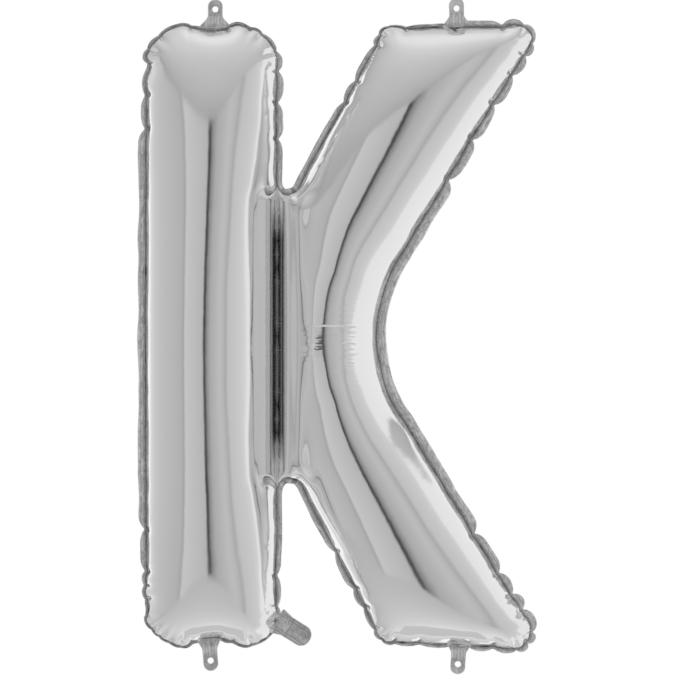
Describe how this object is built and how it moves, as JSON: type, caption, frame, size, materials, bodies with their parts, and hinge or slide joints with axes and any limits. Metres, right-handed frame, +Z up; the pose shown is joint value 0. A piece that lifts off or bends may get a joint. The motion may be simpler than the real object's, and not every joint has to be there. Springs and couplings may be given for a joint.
{
  "type": "letter foil balloon",
  "caption": "Silver foil letter balloon shaped as a K: two welded film panels with a margin, hanging tabs and an inflation tail.",
  "frame": {"origin": "the middle of the air inside the blown-up letter, in the plane of its weld", "axes": "+Z up the letter, +X to the viewer's right as the letter reads, +Y away from the viewer; the front panel faces -Y"},
  "size_m": [0.5845, 0.1828, 0.9871],
  "materials": {
    "silver_foil": "mirror-bright metallised film, faintly rippled",
    "margin_foil": "welded metallised film, finely creased, less bright than the panels",
    "valve_film": "clear soft film"
  },
  "bodies": {
    "root": {"front_panel": "silver_foil", "back_panel": "silver_foil", "seam_margin": "margin_foil", "hang_tab_top_left": "margin_foil", "hang_tab_top_right": "margin_foil", "hang_tab_bottom_left": "margin_foil", "hang_tab_bottom_right": "margin_foil", "inflation_tail": "margin_foil", "valve_film": "valve_film"}
  },
  "joints": []
}
